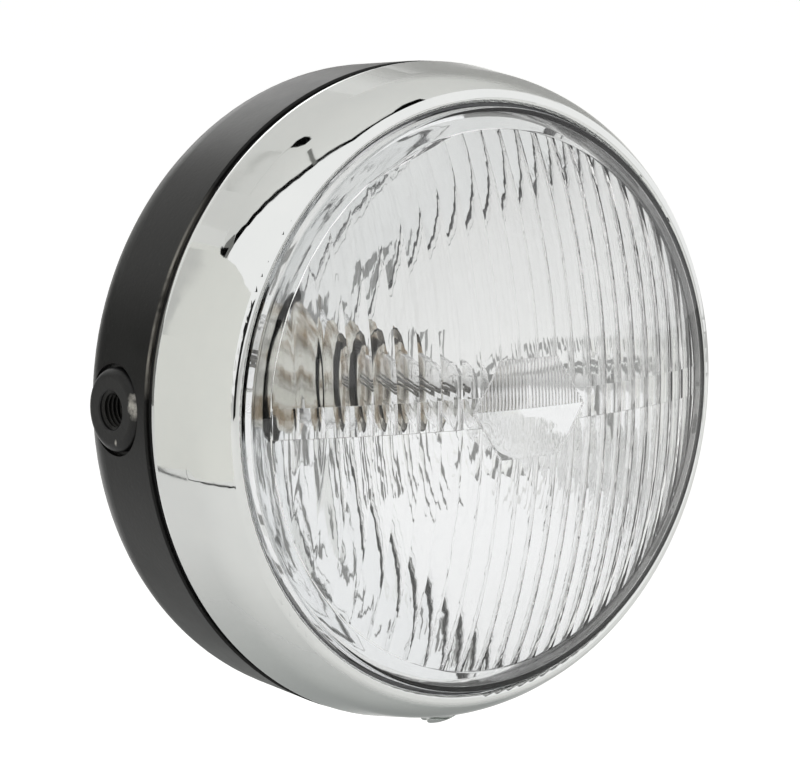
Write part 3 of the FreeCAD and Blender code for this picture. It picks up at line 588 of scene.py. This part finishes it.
strip("board_side", [(-0.445, 0.409, 0.405, 0.004), (-0.445, 0.375, 0.341, 0.007), (-0.445, 0.344, 0.274, 0.007),
                     (-0.445, 0.32, 0.214, 0.006), (-0.445, 0.305, 0.168, 0.005), (-0.445, 0.293, 0.125, 0.003)],
      "pale_grey_card")
strip("softbox_corner", [(-0.979, 0.888, 0.901, 0.09), (-1.033, 0.733, 0.978, 0.13), (-1.001, 0.686, 1.043, 0.08)],
      "grey_card")
strip("softbox_edge", [(-1.001, 0.686, 1.043, 0.07), (-0.945, 0.565, 1.161, 0.055), (-0.857, 0.447, 1.275, 0.055),
                       (-0.715, 0.275, 1.404, 0.05), (-0.562, 0.118, 1.494, 0.05), (-0.426, 0.04, 1.542, 0.05),
                       (-0.281, -0.004, 1.575, 0.028), (-0.089, -0.039, 1.597, 0.022), (0.159, 0.012, 1.592, 0.028),
                       (0.33, 0.07, 1.565, 0.03), (0.455, 0.125, 1.53, 0.055), (0.595, 0.2, 1.47, 0.03)], "black_felt")
strip("ceiling_seam", [(-0.558, 0.979, 1.136, 0.003), (-0.38, 0.988, 1.2, 0.003), (-0.195, 0.996, 1.237, 0.004),
                       (-0.131, 0.95, 1.28, 0.03)], "pale_grey_card")
strip("ceiling_hook", [(-0.105, 0.975, 1.26, 0.03), (-0.105, 0.925, 1.295, 0.055), (-0.145, 0.805, 1.37, 0.055),
                       (-0.175, 0.695, 1.435, 0.03)], "black_felt")
strip("ceiling_bracket", [(-0.295, 0.47, 1.5, 0.02), (-0.39, 0.22, 1.535, 0.022), (-0.43, 0.025, 1.54, 0.02)],
      "grey_card")

# Painted shade in the room, as grey cards that fade out at their edges and are seen only in mirrors: the far corner
# behind the lamp on the right, and the floor under the lamp, where the card stands in for the lamp's shadow.
for name, middle, inner, outer, code in (("shaded_corner", (1.13, 0.93, 0.62), 0.25, 0.75, "#c0c0be"),
                                         ("shaded_floor", (0.06, 0.1, -0.183), 0.02, 0.3, "#b6b9b7")):
    stage_finish[name], tree, shader = finish_named(name)
    shader.inputs["Base Color"].default_value = linear(code)
    shader.inputs["Roughness"].default_value = 1.0
    shader.inputs["Specular IOR Level"].default_value = 0.0
    place = add(tree, "ShaderNodeTexCoord", {}).outputs["Object"]
    away = add(tree, "ShaderNodeVectorMath", {0: place, 1: middle}, operation="DISTANCE")
    fade = add(tree, "ShaderNodeMapRange", {"Value": away.outputs["Value"], "From Min": inner, "From Max": outer},
               interpolation_type="SMOOTHSTEP")
    clear = add(tree, "ShaderNodeBsdfTransparent", {})
    soft = add(tree, "ShaderNodeMixShader", {0: fade.outputs["Result"], 1: shader.outputs["BSDF"],
                                             2: clear.outputs["BSDF"]})
    tree.links.new(soft.outputs["Shader"], tree.nodes["Material Output"].inputs["Surface"])
    facing = Vector((0, 0, 1)) if name == "shaded_floor" else Vector(middle).normalized()
    across = facing.orthogonal().normalized() * outer
    along = facing.cross(across)
    card(name, [Vector(middle) - across - along, Vector(middle) + across - along],
         [Vector(middle) - across + along, Vector(middle) + across + along], name, glass=False)
card("dark_doorway", [(-0.95, -1.41, floor_z), (-0.6, -1.59, floor_z), (-0.24, -1.68, floor_z)],
     [(-0.95, -1.41, 0.3), (-0.6, -1.59, 0.42), (-0.24, -1.68, 0.3)], "charcoal_curtain", glass=False)

# Upright slats round the front and bars on the floor, which only the glass sees, and the walls behind.
for index in range(17):
    turn = math.radians(-118 + 14.5 * index + 5 * math.sin(index * 2.3))
    wide = 0.02 + 0.018 * (index * 5 % 4)
    ends = [(1.75 * math.sin(turn + side), -1.75 * math.cos(turn + side)) for side in (-wide, wide)]
    low, high = (floor_z, 1.2) if index % 3 else (0.1, 1.75)
    card("slat_%02d" % index, [ends[0] + (low,), ends[0] + (high,)], [ends[1] + (low,), ends[1] + (high,)],
         "grey_card" if index % 2 else "wall_paint", chrome=False)
for index in range(9):
    middle = -1.2 + 0.3 * index + 0.08 * math.sin(index * 1.9)
    wide = 0.03 + 0.015 * (index * 3 % 4)
    card("floor_bar_%02d" % index, [(middle - wide, -0.35, -0.185), (middle - wide, -1.6, -0.185)],
         [(middle + wide, -0.35, -0.185), (middle + wide, -1.6, -0.185)], "grey_card", chrome=False)
ceiling_z = 1.8
wall_y = 1.8
card("back_wall", [(-3, wall_y, floor_z), (-3, wall_y, ceiling_z)], [(3, wall_y, floor_z), (3, wall_y, ceiling_z)],
     "wall_paint")
card("left_wall", [(-3, wall_y, floor_z), (-3, wall_y, ceiling_z)], [(-3, 0.3, floor_z), (-3, 0.3, ceiling_z)],
     "wall_paint")
card("rear_softbox", [(0.2, 1.78, 0.5), (0.2, 1.78, 1.2)], [(1.5, 1.78, 0.5), (1.5, 1.78, 1.2)], "softbox_cloth",
     glass=False)
card("rear_flag", [(-1.2, 1.77, floor_z), (-1.2, 1.77, 0.42)], [(0.1, 1.77, floor_z), (0.1, 1.77, 0.42)], "grey_card",
     glass=False)
card("rear_bounce", [(-0.1, 0.4, -0.186), (-0.1, 1.6, -0.186)], [(1.3, 0.4, -0.186), (1.3, 1.6, -0.186)],
     "white_bounce", glass=False)
softbox_line = ((-2.6, 1.15), (-1.9, 1.25), (-1.73, 1.19), (-1.2, 0.63), (-0.92, 0.353), (-0.68, 0.142),
                (-0.5, 0.047), (-0.32, 0.0), (-0.1, -0.04), (0.18, 0.014), (0.46, 0.11), (0.7, 0.22), (3, 0.4))
card("ceiling", [(x, y, ceiling_z) for x, y in softbox_line], [(x, wall_y, ceiling_z) for x, y in softbox_line],
     "wall_paint")

# The white surround, a little dimmer where it lights the lamp than where it is seen.
world = bpy.data.worlds.new("white_studio")
world.use_nodes = True
bpy.context.scene.world = world
tree = world.node_tree
path = add(tree, "ShaderNodeLightPath", {})
seen = add(tree, "ShaderNodeMath", {0: path.outputs["Is Camera Ray"], 1: path.outputs["Is Glossy Ray"]},
           operation="MAXIMUM")
seen = add(tree, "ShaderNodeMath", {0: seen.outputs["Value"], 1: path.outputs["Is Transmission Ray"]},
           operation="MAXIMUM")
level = add(tree, "ShaderNodeMapRange", {"Value": seen.outputs["Value"], "To Min": 0.6, "To Max": 1.0})
tree.links.new(level.outputs["Result"], tree.nodes["Background"].inputs["Strength"])
tree.nodes["Background"].inputs["Color"].default_value = (1, 1, 1, 1)

# Two soft lamps, kept out of mirrors and glass.
for name, spot, size, power in (("key_softbox", (-1.1, -0.9, 1.5), 1.0, 14),
                                ("fill_softbox", (1.4, -0.8, 0.7), 0.9, 6)):
    lamp = bpy.data.lights.new(name, "AREA")
    lamp.energy = power
    lamp.size = size
    holder = bpy.data.objects.new(name, lamp)
    bpy.context.scene.collection.objects.link(holder)
    holder.location = spot
    holder.visible_transmission = False
    holder.visible_glossy = False
    holder.rotation_euler = (Vector((0, 0, 0)) - Vector(spot)).to_track_quat("-Z", "Y").to_euler()


# The camera, from the front left and a little above, with a long lens.
# It stands about 1 m from the lamp, and its picture is 800 by 766.

eye = Vector((-0.6212, -0.7821, 0.1297))
back = Vector((-0.6175, -0.7761, 0.1279)).normalized()
right = Vector((0, 0, 1)).cross(back).normalized()
up = back.cross(right)
view = bpy.data.cameras.new("camera")
view.sensor_width = 36
view.lens = 173.68
camera = bpy.data.objects.new("camera", view)
bpy.context.scene.collection.objects.link(camera)
camera.matrix_world = Matrix(((right.x, up.x, back.x, eye.x), (right.y, up.y, back.y, eye.y),
                              (right.z, up.z, back.z, eye.z), (0, 0, 0, 1)))
bpy.context.scene.camera = camera
bpy.context.scene.view_settings.view_transform = "Standard"
# Light passes the glass four times and meets several mirrors on its way, so it gets more bounces.
bpy.context.scene.cycles.max_bounces = 24
bpy.context.scene.cycles.glossy_bounces = 16
bpy.context.scene.cycles.transmission_bounces = 20
